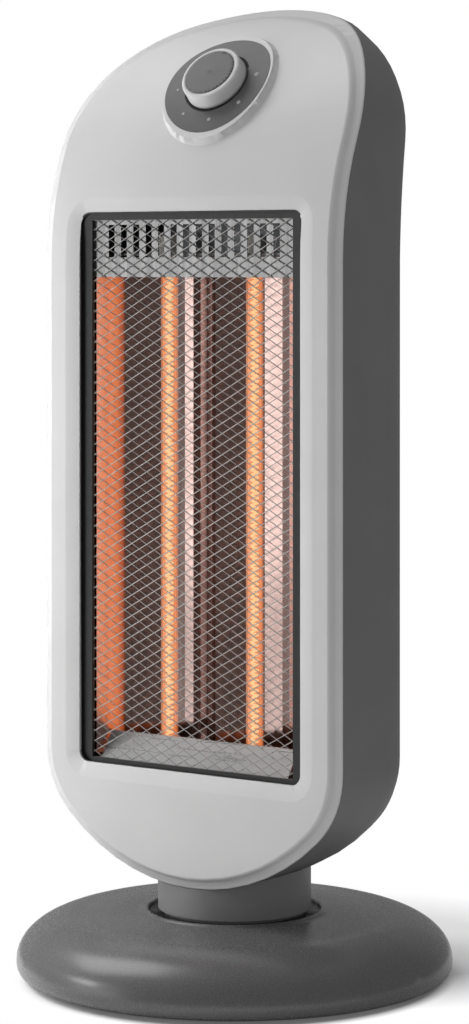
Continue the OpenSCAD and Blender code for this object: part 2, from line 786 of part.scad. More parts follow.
module heat_shield() {
  side_y = frame_y0 + frame_len + seat_gap;
  color(zinc) translate([0, 0, shield_z0]) linear_extrude(shield_z1 - shield_z0) {
    translate([-shield_x, shield_y]) square([2 * shield_x, sheet_t]);
    for (x = [-shield_x, shield_x - sheet_t]) translate([x, side_y])
      square([sheet_t, shield_y - side_y + sheet_t]);
  }
}

module lamp_tubes() {
  color("#e9c8a0", 0.5) for (x = [-lamp_x, lamp_x]) translate([x, lamp_y, tube_z0]) difference() {
    cylinder(d = tube_d, h = tube_z1 - tube_z0);
    translate([0, 0, 1.2]) cylinder(d = tube_d - 2.4, h = tube_z1 - tube_z0 - 2.4);
  }
}

module carbon_filaments() {
  color("orange") for (x = [-lamp_x, lamp_x]) translate([x, lamp_y, tube_z0 + 1.2])
    cylinder(d = tube_d - 5, h = tube_z1 - tube_z0 - 2.4);
}

module lamp_caps() {
  color("white") for (x = [-lamp_x, lamp_x]) for (end = [0, 1])
    translate([x, lamp_y, end == 0 ? cap_z0 : cap_z1]) difference() {
      cylinder(r = cap_r, h = cap_len);
      translate([0, 0, end == 0 ? cap_len - 6 : -1])
        cylinder(r = tube_d / 2 + fit_gap, h = 7);
      translate([0, 0, end == 0 ? -1 : cap_len - 5]) cylinder(r = 1.6, h = 6);
    }
}

module lamp_bracket(z) {
  color(zinc) difference() {
    translate([-shield_x + 1.2, lamp_y - cap_r - 4, z])
      cube([2 * shield_x - 2.4, shield_y - lamp_y + cap_r + 4 - seat_gap, 1.2]);
    for (x = [-lamp_x, lamp_x]) translate([x, lamp_y, z - 1])
      cylinder(r = cap_r + seat_gap, h = 4);
  }
}
module lamp_bracket_upper() { lamp_bracket(cap_z1 + cap_len / 3); }
module lamp_bracket_lower() { lamp_bracket(shield_z0 + 1.5); }

// Round wire through a row of points
module wire(points, r) {
  for (i = [0:len(points) - 2]) let (a = points[i], d = points[i + 1] - a, l = norm(d))
    translate(a) rotate([0, acos(d[2] / l), atan2(d[1], d[0])]) cylinder(r = r, h = l);
  for (i = [1:len(points) - 2]) translate(points[i]) sphere(1.1 * r);
}

// Point just behind the switch terminal at x
switch_depth = switch_top + switch_h + lug_len + 2;
function switch_lug(x) = [x, front_y(knob_z) + switch_depth * cos(knob_tilt),
  knob_z - switch_depth * sin(knob_tilt)];

module lamp_leads() {
  color("#d9d2c2") mirrored() {
    wire([[lamp_x, lamp_y, cap_z1 + cap_len - 4], [lamp_x, lamp_y, shield_z1 + 3],
      [lamp_x - 12, shield_y + 8, shield_z1 + 12], switch_lug(8)], 1.2);
    wire([[lamp_x, lamp_y, cap_z0 + 4], [lamp_x, lamp_y, cap_z0 - 8],
      [lamp_x - 12, shield_y + 6, cap_z0 - 8], [14, shield_y + 6, block_z - 0.5]], 1.2);
  }
}

module thermal_cutout() {
  z = shield_z1 - 26;
  color(zinc) cyl_y(0, z, shield_y + sheet_t, shield_y + sheet_t + 1, 12);
  color("#2b2b2b") cyl_y(0, z, shield_y + sheet_t + 1, shield_y + sheet_t + 8, 8.5);
  color(steel) for (x = [-5, 5])
    translate([x - 1.6, shield_y + sheet_t + 8, z - 0.4]) cube([3.2, 6, 0.8]);
}

block_y = shield_y + sheet_t;
block_z = shield_z0 + 6;
block_w = 40;
block_t = 14;
block_h = 16;
module terminal_block() {
  pitch = block_w / 4;
  color("#e6e2d6") difference() {
    translate([-block_w / 2, block_y, block_z]) cube([block_w, block_t, block_h]);
    for (i = [0:3]) cyl_y((i - 1.5) * pitch, block_z + block_h / 2, block_y + block_t - 5,
      block_y + block_t + 1, 2.2);
  }
}

// Two stretches: from the hub to the terminal block, and from there to the switch
harness_r = 3.2;
harness_bend = 15;
harness_side = 30;
harness_lift = 35;
module wiring_harness() {
  wire_y = block_y + block_t / 2;
  block_z1 = block_z + block_h;
  color(black) wire([[0, 0, swing_plate_z1 - swing_plate_t], [0, 0, low_z + harness_bend],
    [0, wire_y, low_z + 2 * harness_bend], [0, wire_y, block_z]], harness_r);
  color(black) wire([[0, wire_y, block_z1], [0, wire_y, block_z1 + harness_bend],
    [-harness_side, wire_y, block_z1 + 3 * harness_bend],
    [-harness_side, wire_y + 3.5 * harness_r, bend_z + harness_lift], switch_lug(0)], harness_r);
}

// Control

boss_d = 22;

// Disc with a flange behind the front and a boss that the switch is screwed to
module knob_escutcheon() {
  r = disc_d / 2;
  color("#646464") difference() {
    union() {
      intersection() {
        at_knob() knob_bore(r);
        sweep_layer(-disc_rise, disc_t + 0.2, disc_d);
      }
      intersection() {
        at_knob() knob_bore(r + flange_w);
        sweep_layer(disc_t + 0.1, disc_t + 0.1 + flange_t, disc_d);
      }
    }
    intersection() {
      at_knob() difference() {
        knob_bore(r - plate_skin);
        knob_bore(boss_d / 2);
      }
      sweep_layer(plate_skin + well_depth - disc_rise, disc_t + flange_t + 6, disc_d);
    }
    at_knob() {
      translate([0, 0, well_floor]) cylinder(r = well_r, h = bore_reach);
      knob_bore(shaft_d / 2 + 0.4);
    }
  }
}

module rotary_switch() {
  color("#3a3a3a") at_knob() difference() {
    translate([-switch_size / 2, -switch_size / 2, -switch_top - switch_h])
      cube([switch_size, switch_size, switch_h]);
    translate([0, 0, -switch_top - 10]) cylinder(r = shaft_d / 2 + run_gap, h = through);
  }
  color(steel) at_knob() for (x = [-8, 0, 8])
    translate([x - 1.6, -0.4, -switch_top - switch_h - lug_len]) cube([3.2, 0.8, lug_len + 1]);
}

module switch_shaft() {
  color(steel) at_knob() translate([0, 0, -switch_top - 9.5])
    cylinder(d = shaft_d, h = switch_top + 9.5 + knob_h - 5);
}

module knob() {
  r = knob_d / 2;
  edge = 1.6;
  foot = well_floor + 0.6;
  color(light_grey) at_knob() rotate_extrude() polygon(concat(
    [[shaft_d / 2 + fit_gap, foot], [r - 0.4, foot], [r, foot + 0.4]],
    arc(r - 0.6 - edge, knob_h - edge, edge, 0, 90, 4),
    [[r - ring_w, knob_h], [r - ring_w, knob_h - 1.6], [0, knob_h - 1.6], [0, knob_h - 4.8],
      [shaft_d / 2 + fit_gap, knob_h - 4.8]]));
}

module knob_cap() {
  r = knob_d / 2 - ring_w - fit_gap;
  color("#6a6a6a") at_knob() rotate_extrude() polygon([[0, knob_h - 1.55], [r, knob_h - 1.55],
    [r, knob_h - 0.1], [r - 0.6, knob_h + 0.5], [0, knob_h + 0.9]]);
}

base_cover();
base_plate();
rubber_feet();
base_screws();
cord_grommet();
bearing_ring();
tip_switch();
tip_plunger();
swing_motor();
motor_screws();
motor_shaft();
swing_crank();
swing_plate();
swing_plate_screws();
neck();
neck_screws();
rear_shell();
front_bezel();
shell_screws();
chamber_frame();
guard_mesh();
slot_plate();
bottom_tray();
reflector();
heat_shield();
lamp_tubes();
carbon_filaments();
lamp_caps();
lamp_bracket_upper();
lamp_bracket_lower();
lamp_leads();
thermal_cutout();
terminal_block();
wiring_harness();
knob_escutcheon();
rotary_switch();
switch_shaft();
knob();
knob_cap();
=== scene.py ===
# %% [markdown]
# # A tower heater with two carbon lamps
# The solids of the heater come from CAD and are loaded as a fixed frame. This
# lesson gives them their looks: moulded plastic, polished and chromed metal,
# quartz lamps that glow, and the small pieces that only show close up, such as
# the fine guard net and the wound lamp filaments. Everything is in metres, +Z is
# up and the lamps face -Y.

# %% Load the frame
import json
import math

import bpy
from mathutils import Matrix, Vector

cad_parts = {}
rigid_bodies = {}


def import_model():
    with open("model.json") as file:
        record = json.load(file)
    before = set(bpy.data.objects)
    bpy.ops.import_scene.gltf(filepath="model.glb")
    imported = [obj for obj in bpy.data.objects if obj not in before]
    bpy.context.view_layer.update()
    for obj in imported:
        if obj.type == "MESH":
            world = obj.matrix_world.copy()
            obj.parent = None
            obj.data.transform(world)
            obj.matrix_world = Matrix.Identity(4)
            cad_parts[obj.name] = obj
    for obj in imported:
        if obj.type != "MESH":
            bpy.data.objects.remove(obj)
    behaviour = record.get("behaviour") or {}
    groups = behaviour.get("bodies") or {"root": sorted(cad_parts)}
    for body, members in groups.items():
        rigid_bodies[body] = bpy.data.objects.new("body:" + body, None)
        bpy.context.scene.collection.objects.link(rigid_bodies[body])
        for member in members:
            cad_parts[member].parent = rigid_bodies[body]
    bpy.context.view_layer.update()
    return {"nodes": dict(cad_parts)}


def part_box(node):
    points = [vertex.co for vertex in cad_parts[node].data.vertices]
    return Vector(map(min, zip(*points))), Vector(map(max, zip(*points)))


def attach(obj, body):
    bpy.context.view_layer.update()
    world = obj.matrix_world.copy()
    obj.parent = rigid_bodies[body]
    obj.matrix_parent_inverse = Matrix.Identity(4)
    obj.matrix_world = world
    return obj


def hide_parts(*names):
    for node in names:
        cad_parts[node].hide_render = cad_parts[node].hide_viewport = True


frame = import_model()
scene = bpy.context.scene
nodes = frame["nodes"]

# %% [markdown]
# ## Camera
# The photograph looks level at the heater from 35.6 degrees to its right, from
# about two metres away. The horizon lies high in the picture, so the camera stays
# level and its picture plane is shifted down, which keeps upright lines upright.

# %% Camera
AZIMUTH = math.radians(35.6)
CAMERA_DISTANCE = 1.975
CAMERA_HEIGHT = 0.456
FOCAL_PX = 3069.0
IMAGE_H = 1024
HORIZON_PX = 266.8
SENSOR_MM = 36

camera_data = bpy.data.cameras.new("camera")
camera = bpy.data.objects.new("camera", camera_data)
scene.collection.objects.link(camera)
scene.camera = camera
camera.location = (CAMERA_DISTANCE * math.sin(AZIMUTH),
                   -CAMERA_DISTANCE * math.cos(AZIMUTH), CAMERA_HEIGHT)
camera.rotation_euler = (math.pi / 2, 0, AZIMUTH)
camera_data.sensor_width = SENSOR_MM
camera_data.lens = FOCAL_PX / IMAGE_H * SENSOR_MM
camera_data.shift_y = (HORIZON_PX - IMAGE_H / 2) / IMAGE_H
camera_data.clip_start = 0.05
scene.view_settings.view_transform = "Standard"
print("lens:", round(camera_data.lens, 2), "shift:", round(camera_data.shift_y, 4))

# %% [markdown]
# ## Helpers for modelling
# An operator works on all that is selected, so each piece starts from an empty
# selection. `finish` hands a finished piece over: its place goes into its mesh,
# it rides on a body, and it takes its material.

# %% Helpers for modelling


def only(obj):
    bpy.ops.object.select_all(action="DESELECT")
    obj.select_set(True)
    bpy.context.view_layer.objects.active = obj


def name_new(name):
    obj = bpy.context.object
    obj.name = name
    return obj


def set_material(obj, material):
    obj.data.materials.clear()
    obj.data.materials.append(material)
    for face in obj.data.polygons:
        face.material_index = 0


def finish(obj, body, material, replaces=()):
    only(obj)
    bpy.ops.object.transform_apply(location=True, rotation=True, scale=True)
    set_material(obj, material)
    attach(obj, body)
    if replaces:
        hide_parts(*replaces)
    print(obj.name, "faces:", len(obj.data.polygons), "body:", body)
    return obj


def join(objs, name):
    only(objs[0])
    for obj in objs[1:]:
        obj.select_set(True)
    if len(objs) > 1:
        bpy.ops.object.join()
    return name_new(name)


def apply_modifier(obj, kind, **values):
    only(obj)
    modifier = obj.modifiers.new(kind.lower(), kind)
    for key, value in values.items():
        setattr(modifier, key, value)
    bpy.ops.object.modifier_apply(modifier=modifier.name)


# %% [markdown]
# ## Helpers for materials
# A material is a small tree of nodes. Each helper adds one kind of node and links
# it, so that a finish further down reads as a short recipe. All patterns are laid
# out on Object coordinates, because then they stay with the piece when it moves.

# %% Helpers for materials


def new_material(name):
    material = bpy.data.materials.new(name)
    material.use_nodes = True
    tree = material.node_tree
    return material, tree, tree.nodes["Principled BSDF"]


def add(tree, kind, **values):
    node = tree.nodes.new(kind)
    for key, value in values.items():
        if hasattr(node, key):
            setattr(node, key, value)
        else:
            node.inputs[key].default_value = value
    return node


def object_coords(tree, stretch=(1, 1, 1)):
    coords = add(tree, "ShaderNodeTexCoord")
    mapping = add(tree, "ShaderNodeMapping")
    mapping.inputs["Scale"].default_value = stretch
    tree.links.new(coords.outputs["Object"], mapping.inputs["Vector"])
    return mapping.outputs["Vector"]


def noise(tree, vector, scale, detail=2.0):
    node = add(tree, "ShaderNodeTexNoise", Scale=scale, Detail=detail)
    tree.links.new(vector, node.inputs["Vector"])
    return node.outputs["Fac"]


def remap(tree, value, low, high, start=0.3, end=0.7):
    node = add(tree, "ShaderNodeMapRange")
    for key, number in zip(("From Min", "From Max", "To Min", "To Max"),
                           (start, end, low, high)):
        if isinstance(number, (int, float)):
            node.inputs[key].default_value = number
        else:
            tree.links.new(number, node.inputs[key])
    tree.links.new(value, node.inputs["Value"])
    return node.outputs["Result"]


def two_colours(tree, fac, first, second):
    node = add(tree, "ShaderNodeMix", data_type="RGBA")
    node.inputs["A"].default_value = (*first, 1)
    node.inputs["B"].default_value = (*second, 1)
    tree.links.new(fac, node.inputs["Factor"])
    return node.outputs["Result"]


def bump(tree, shader, height, distance, strength=1.0):
    node = add(tree, "ShaderNodeBump", Strength=strength, Distance=distance)
    tree.links.new(height, node.inputs["Height"])
    tree.links.new(node.outputs["Normal"], shader.inputs["Normal"])


def shade(colour, factor):
    return tuple(c * factor for c in colour)


print("helpers for materials: ready")

# %% [markdown]
# ## Moulded plastic
# The shells are spark-eroded ABS: an even colour with a fine grain that breaks up
# the highlight. Noise on Object coordinates gives a very slight change of tone
# over a hand's width, and a second, tiny noise feeds a bump for the grain.

# %% Plastics
TONE_SCALE = 22.0
ROUGH_SPREAD = 0.05
GRAIN_STRENGTH = 0.6


def moulded(name, colour, rough, grain=1500.0, relief=0.00004, spread=0.04, gloss=0.5):
    material, tree, shader = new_material(name)
    shader.inputs["Specular IOR Level"].default_value = gloss
    vector = object_coords(tree)
    tone = remap(tree, noise(tree, vector, TONE_SCALE), 0, 1)
    tree.links.new(two_colours(tree, tone, shade(colour, 1 - spread), shade(colour, 1 + spread)),
                   shader.inputs["Base Color"])
    fine = noise(tree, vector, grain)
    tree.links.new(remap(tree, fine, rough - ROUGH_SPREAD, rough + ROUGH_SPREAD),
                   shader.inputs["Roughness"])
    bump(tree, shader, fine, relief, GRAIN_STRENGTH)
    return material


light_plastic = moulded("light grey plastic", (0.54, 0.54, 0.54), 0.42, grain=1300.0,
                        relief=0.00003, spread=0.02)
shell_plastic = moulded("shell plastic", (0.148, 0.148, 0.15), 0.55)
base_plastic = moulded("base plastic", (0.096, 0.096, 0.098), 0.26, gloss=0.6)
# The neck is the shell's plastic, painted lighter to make up for the shade that the tower casts on
# it.
neck_plastic_lightened_for_shade = moulded("neck plastic lightened for shade", (0.19, 0.19, 0.192), 0.5)
disc_plastic = moulded("disc plastic", (0.088, 0.088, 0.088), 0.5)
black_plastic = moulded("black plastic", (0.03, 0.03, 0.03), 0.45)
# The slip ring is painted near black: painted shade for the gap under the tower, where it shows.
slip_plastic_darkened_for_shade = moulded("slip plastic darkened for shade", (0.06, 0.06, 0.06), 0.3)
rubber = moulded("black rubber", (0.02, 0.02, 0.02), 0.8, grain=900.0)
plastics = (light_plastic, shell_plastic, base_plastic, neck_plastic_lightened_for_shade, disc_plastic,
            black_plastic, slip_plastic_darkened_for_shade, rubber)
print("plastics:", len(plastics))

# %% [markdown]
# ## Metals
# Rolled sheet has faint drawing lines, which stretch its reflections. The reflector
# is polished almost to a mirror, while the plate over the lamps and the tray under
# them blur the room. The chrome of the net is satin. Zinc coating is dull, with
# small crystal patches from a Voronoi texture. The black frame is stove paint, so
# it is made like a plastic.

# %% Metals
LINE_SCALE, LINE_DETAIL = 300.0, 3.0
CRYSTAL_SCALE = 180.0
# The zinc's tones are painted darker than bare zinc: painted shade for the inside of the heater,
# which shows through the slots.
ZINC_DARK, ZINC_LIGHT = (0.24, 0.25, 0.26), (0.36, 0.37, 0.38)
ZINC_ROUGH = (0.3, 0.5)
LINE_SHADE, LINE_STRENGTH = 0.93, 0.5
SMOOTHEST, ROUGHEST = 0.7, 1.3


def bright_metal(name, colour, rough, stretch=(1, 1, 1), relief=0.00001):
    material, tree, shader = new_material(name)
    shader.inputs["Metallic"].default_value = 1
    vector = object_coords(tree, stretch)
    lines = noise(tree, vector, LINE_SCALE, LINE_DETAIL)
    tree.links.new(two_colours(tree, lines, shade(colour, LINE_SHADE), colour),
                   shader.inputs["Base Color"])
    tree.links.new(remap(tree, lines, rough * SMOOTHEST, rough * ROUGHEST),
                   shader.inputs["Roughness"])
    bump(tree, shader, lines, relief, LINE_STRENGTH)
    return material


def zinc_coating(name):
    material, tree, shader = new_material(name)
    shader.inputs["Metallic"].default_value = 1
    crystals = add(tree, "ShaderNodeTexVoronoi", Scale=CRYSTAL_SCALE)
    tree.links.new(object_coords(tree), crystals.inputs["Vector"])
    tree.links.new(two_colours(tree, crystals.outputs["Distance"], ZINC_DARK, ZINC_LIGHT),
                   shader.inputs["Base Color"])
    tree.links.new(remap(tree, crystals.outputs["Distance"], *ZINC_ROUGH, 0, 1),
                   shader.inputs["Roughness"])
    return material


chrome = bright_metal("chromed wire", (0.48, 0.47, 0.46), 0.32)
bright_steel = bright_metal("bright sheet steel", (0.32, 0.32, 0.32), 0.32, stretch=(1, 1, 0.05))
# The tray is the same sheet steel as the plate, painted much lighter: painted light for the gleam
# that it catches.
tray_steel_painted_lighter = bright_metal("tray steel painted lighter", (0.8, 0.8, 0.8), 0.36, stretch=(0.05, 1, 1), relief=0.0000002)
mirror_metal = bright_metal("polished reflector", (0.75, 0.54, 0.49), 0.12, stretch=(1, 1, 0.02))
zinc_darkened_for_shade = zinc_coating("zinc coating")
black_paint = moulded("black stove paint", (0.01, 0.01, 0.01), 0.35, grain=700.0)
metals = (chrome, bright_steel, tray_steel_painted_lighter, mirror_metal, zinc_darkened_for_shade)
print("metals:", len(metals), "and a paint")

# %% [markdown]
# ## Lamps
# A carbon lamp is a quartz tube with a wound strand of carbon fibre, which glows
# yellow-orange. The quartz is thin and clear, so it is an almost transparent
# shell with a sharp highlight. The strand is brightest in its middle and dims at
# both ends, where it is cooled, so its strength follows the height. What the
# reflector throws back of it is redder than the strand itself.

# %% Lamp materials
STRAND_GLOW, STRAND_COOL = 0.85, 0.3
COOL_LENGTH = 0.02
STRAND_SEEN, STRAND_REFLECTED = (1.0, 0.74, 0.38), (0.75, 0.36, 0.16)
STREAK_SCALE, STREAK_STRETCH = 400.0, (1, 1, 0.05)
QUARTZ_ROUGH = (0.03, 0.1)


def quartz_glass():
    material, tree, shader = new_material("quartz glass")
    # The quartz's warm tint and faint orange emission are painted glow: the strand's light as the
    # tube spreads it.
    shader.inputs["Base Color"].default_value = (1.0, 0.75, 0.5, 1)
    shader.inputs["Alpha"].default_value = 0.16
    shader.inputs["Specular IOR Level"].default_value = 0.25
    shader.inputs["Emission Color"].default_value = (1.0, 0.24, 0.06, 1)
    shader.inputs["Emission Strength"].default_value = 0.95
    streaks = noise(tree, object_coords(tree, STREAK_STRETCH), STREAK_SCALE)
    tree.links.new(remap(tree, streaks, *QUARTZ_ROUGH), shader.inputs["Roughness"])
    return material


def glowing_strand():
    material, tree, shader = new_material("glowing carbon strand")
    shader.inputs["Base Color"].default_value = (0.05, 0.03, 0.02, 1)
    shader.inputs["Roughness"].default_value = 0.8
    coords = add(tree, "ShaderNodeTexCoord")
    parts = add(tree, "ShaderNodeSeparateXYZ")
    tree.links.new(coords.outputs["Object"], parts.inputs["Vector"])
    lo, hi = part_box("carbon_filaments")
    middle = (lo.z + hi.z) / 2
    ramp = add(tree, "ShaderNodeMapRange", interpolation_type="SMOOTHSTEP")
    away = add(tree, "ShaderNodeMath", operation="SUBTRACT")
    away.inputs[1].default_value = middle
    size = add(tree, "ShaderNodeMath", operation="ABSOLUTE")
    tree.links.new(parts.outputs["Z"], away.inputs[0])
    tree.links.new(away.outputs[0], size.inputs[0])
    ramp.inputs["From Min"].default_value = hi.z - middle - COOL_LENGTH
    ramp.inputs["From Max"].default_value = hi.z - middle
    ramp.inputs["To Min"].default_value = STRAND_GLOW
    ramp.inputs["To Max"].default_value = STRAND_COOL
    tree.links.new(size.outputs[0], ramp.inputs["Value"])
    rays = add(tree, "ShaderNodeLightPath")
    tree.links.new(two_colours(tree, rays.outputs["Is Camera Ray"], STRAND_REFLECTED, STRAND_SEEN),
                   shader.inputs["Emission Color"])
    tree.links.new(ramp.outputs["Result"], shader.inputs["Emission Strength"])
    return material


quartz = quartz_glass()
carbon_glow = glowing_strand()
ceramic = moulded("white ceramic", (0.8, 0.78, 0.72), 0.25, grain=500.0)
sleeve = moulded("woven glass sleeve", (0.62, 0.58, 0.48), 0.8, grain=2500.0, relief=0.0002)
lamp_materials = (quartz, carbon_glow, ceramic, sleeve)
print("lamp materials:", len(lamp_materials))

# %% [markdown]
# ## Smooth copies of the shells
# The CAD solids arrive as loose triangles, which show their facets on a curved
# shell. A copy of each visible shell is merged and shaded smooth, with its real
# edges kept sharp by their angle, and stands in for its solid. The front and the
# back are flat up to the head and then each follow an arc, whose centre is the one
# that the solid has. Long thin triangles would wrinkle the light on them, so every
# corner that lies along the front or the back takes its normal from the arc itself.
# The back runs into its rounding without an edge, so there the first faces of the
# rounding, up to 12 degrees off, start from the same normals.

# %% Smooth copies
SWEEP_CENTRE = Vector((0, 0.1325, 0.46))
LEAN_CENTRE = Vector((0, 0.669, 0.447))
ALONG = math.cos(math.radians(4))
ROUND_START = math.cos(math.radians(12))
SHARP_ANGLE = math.radians(32)
MERGE_DISTANCE = 0.00001


def front_normal(point):
    if point.z < SWEEP_CENTRE.z:
        return Vector((0, -1, 0))
    return Vector((0, point.y - SWEEP_CENTRE.y, point.z - SWEEP_CENTRE.z)).normalized()


def back_normal(point):
    if point.z < LEAN_CENTRE.z:
        return Vector((0, 1, 0))
    return Vector((0, LEAN_CENTRE.y - point.y, LEAN_CENTRE.z - point.z)).normalized()


def follow(mesh, surface, reach):
    exact = [surface(vertex.co) for vertex in mesh.vertices]
    along = {vertex for face in mesh.polygons for vertex in face.vertices
             if exact[vertex].dot(face.normal) > ALONG}
    normals = [Vector((0, 0, 0)) for loop in mesh.loops]
    for face in mesh.polygons:
        for corner in face.loop_indices:
            vertex = mesh.loops[corner].vertex_index
            if vertex in along and exact[vertex].dot(face.normal) > reach:
                normals[corner] = exact[vertex]
    mesh.normals_split_custom_set(normals)
    print("corners that follow the arc:", sum(normal.length > 0 for normal in normals))


def smooth_copy(node, body, material):
    obj = nodes[node].copy()
    obj.data = nodes[node].data.copy()
    obj.name = node + "_skin"
    obj.parent = None
    for key in list(obj.keys()):
        del obj[key]
    scene.collection.objects.link(obj)
    only(obj)
    bpy.ops.object.mode_set(mode="EDIT")
    bpy.ops.mesh.select_all(action="SELECT")
    bpy.ops.mesh.remove_doubles(threshold=MERGE_DISTANCE)
    bpy.ops.object.mode_set(mode="OBJECT")
    bpy.ops.object.shade_smooth_by_angle(angle=SHARP_ANGLE)
    return finish(obj, body, material, [node])


for node, material, slot in (("front_bezel", light_plastic, "light_plastic"),
                             ("knob_escutcheon", disc_plastic, "disc_plastic")):
    follow(smooth_copy(node, "tower", material).data, front_normal, ALONG)
shell_skin = smooth_copy("rear_shell", "tower", shell_plastic)
follow(shell_skin.data, back_normal, ROUND_START)
smooth_copy("base_cover", "base", base_plastic)
for node, material, slot in (("knob", light_plastic, "light_plastic"),
                             ("knob_cap", disc_plastic, "disc_plastic")):
    smooth_copy(node, "knob", material)

# %% [markdown]
# ## Guard net
# The guard is expanded metal: a sheet that is slit and drawn out into diamonds,
# 11.9 mm wide and 6.6 mm high. Every strand is a thin bar that lies at a slant.
# One long bar is modelled for each of the two slants, an array repeats it up the
# window, and bisecting cuts the ends off at the window's edge.

# %% Guard net
NET_PITCH_X = 0.0119
NET_PITCH_Z = 0.0066
NET_BAR = 0.00058
NET_THICK = 0.00045
NET_BEVEL = 0.0001
NET_TILT = math.radians(35)
NET_SPARE = 0.01
SPARE_BARS = 2
RIM_WIDTH = 0.0016
RIM_THICK = 0.0008
guard_lo, guard_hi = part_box("guard_mesh")
guard_size = guard_hi - guard_lo
guard_mid = (guard_lo + guard_hi) / 2


def cut_plane(obj, point, normal):
    only(obj)
    bpy.ops.object.mode_set(mode="EDIT")
    bpy.ops.mesh.select_all(action="SELECT")
    bpy.ops.mesh.bisect(plane_co=point, plane_no=normal, use_fill=True, clear_outer=True)
    bpy.ops.object.mode_set(mode="OBJECT")


def net_bars(slant):
    rise = guard_size.x * NET_PITCH_Z / NET_PITCH_X
    length = math.hypot(guard_size.x, rise) + NET_SPARE
    bpy.ops.object.select_all(action="DESELECT")
    bpy.ops.mesh.primitive_cube_add(size=1, location=(0, 0, 0))
    bar = name_new("net_bar")
    bar.scale = (length, NET_THICK, NET_BAR)
    bpy.ops.object.transform_apply(location=False, rotation=False, scale=True)
    bpy.ops.object.mode_set(mode="EDIT")
    bpy.ops.mesh.select_all(action="SELECT")
    bpy.ops.mesh.bevel(offset=NET_BEVEL, segments=1)
    bpy.ops.object.mode_set(mode="OBJECT")
    bar.rotation_euler = (NET_TILT, 0, 0)
    bpy.ops.object.transform_apply(location=False, rotation=True, scale=False)
    bar.rotation_euler = (0, slant * math.atan2(NET_PITCH_Z, NET_PITCH_X), 0)
    bar.location = (0, guard_mid.y, guard_lo.z - rise / 2)
    bpy.ops.object.transform_apply(location=True, rotation=True, scale=False)
    count = int((guard_size.z + rise) / NET_PITCH_Z) + SPARE_BARS
    apply_modifier(bar, "ARRAY", count=count, use_relative_offset=False,
                   use_constant_offset=True, constant_offset_displace=(0, 0, NET_PITCH_Z))
    for point, normal in ((guard_lo, (-1, 0, 0)), (guard_lo, (0, 0, -1)),
                          (guard_hi, (1, 0, 0)), (guard_hi, (0, 0, 1))):
        cut_plane(bar, point, normal)
    return bar


def net_rim():
    bpy.ops.object.select_all(action="DESELECT")
    bpy.ops.mesh.primitive_plane_add(size=1, location=guard_mid, rotation=(math.pi / 2, 0, 0))
    rim = name_new("net_rim")
    rim.scale = (guard_size.x, guard_size.z, 1)
    bpy.ops.object.transform_apply(location=True, rotation=True, scale=True)
    bpy.ops.object.mode_set(mode="EDIT")
    bpy.ops.mesh.select_all(action="SELECT")
    bpy.ops.mesh.inset(thickness=RIM_WIDTH)
    bpy.ops.mesh.delete(type="FACE")
    bpy.ops.object.mode_set(mode="OBJECT")
    apply_modifier(rim, "SOLIDIFY", thickness=RIM_THICK, offset=0)
    return rim


net = join([net_bars(1), net_bars(-1), net_rim()], "guard_net")
finish(net, "tower", chrome, ["guard_mesh"])

# %% [markdown]
# ## Lamp filaments
# The strand in each lamp is wound like a spring, so that it can grow when it is
# hot. A small circle is spun round the lamp's axis, many turns on the same spot,
# and then every ring of the tube is lifted a little further, which draws the turns
# out into a spring. Its two ends are closed with a face.

# %% Lamp filaments
STRAND_R = 0.002
STRAND_WIRE = 0.0008
STRAND_PITCH = 0.0032
TURN_STEPS = 12
WIRE_SIDES = 6
STRAND_MARGIN = 0.004
strand_lo, strand_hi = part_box("carbon_filaments")
LAMP_X = strand_hi.x - (strand_hi.y - strand_lo.y) / 2
LAMP_Y = (strand_lo.y + strand_hi.y) / 2


def filament(x):
    turns = int((strand_hi.z - strand_lo.z - 2 * STRAND_MARGIN) / STRAND_PITCH)
    bpy.ops.object.select_all(action="DESELECT")
    bpy.ops.mesh.primitive_circle_add(
        vertices=WIRE_SIDES, radius=STRAND_WIRE, rotation=(math.pi / 2, 0, 0),
        location=(x + STRAND_R, LAMP_Y, strand_lo.z + STRAND_MARGIN))
    strand = name_new("filament")
    bpy.ops.object.transform_apply(location=True, rotation=True, scale=True)
    bpy.ops.object.mode_set(mode="EDIT")
    bpy.ops.mesh.select_all(action="SELECT")
    bpy.ops.mesh.spin(steps=turns * TURN_STEPS, dupli=False, angle=turns * 2 * math.pi,
                      center=(x, LAMP_Y, 0), axis=(0, 0, 1))
    bpy.ops.object.mode_set(mode="OBJECT")
    for vertex in strand.data.vertices:
        ring = vertex.index // WIRE_SIDES
        vertex.co.z += STRAND_PITCH * ring / TURN_STEPS
    only(strand)
    bpy.ops.object.mode_set(mode="EDIT")
    bpy.ops.mesh.select_all(action="DESELECT")
    bpy.ops.mesh.select_non_manifold()
    bpy.ops.mesh.edge_face_add()
    bpy.ops.mesh.select_all(action="SELECT")
    bpy.ops.mesh.normals_make_consistent(inside=False)
    bpy.ops.object.mode_set(mode="OBJECT")
    bpy.ops.object.shade_smooth()
    return strand


strands = join([filament(-LAMP_X), filament(LAMP_X)], "wound_filaments")
finish(strands, "tower", carbon_glow, ["carbon_filaments"])

# %% [markdown]
# ## Marks of the dial
# Five printed dots round the knob stand for its five positions. They grow from one
# to the next, and each is a thin disc that lies on the face of the dial, which
# stands 4 mm out of the head and follows the same arc.

# %% Marks of the dial
DIAL_RING = 0.0292
DIAL_AXIS = Vector((0, -0.8, 0.6))
DIAL_FOOT = Vector((0, -0.0163, 0.5716))
DISC_SWEEP_R = 0.19
DOTS = 5
FIRST_DOT, DOT_STEP = -170, 45
DOT_R, DOT_GROWTH = 0.0008, 0.0002
DOT_THICK = 0.0001
DOT_SIDES = 20


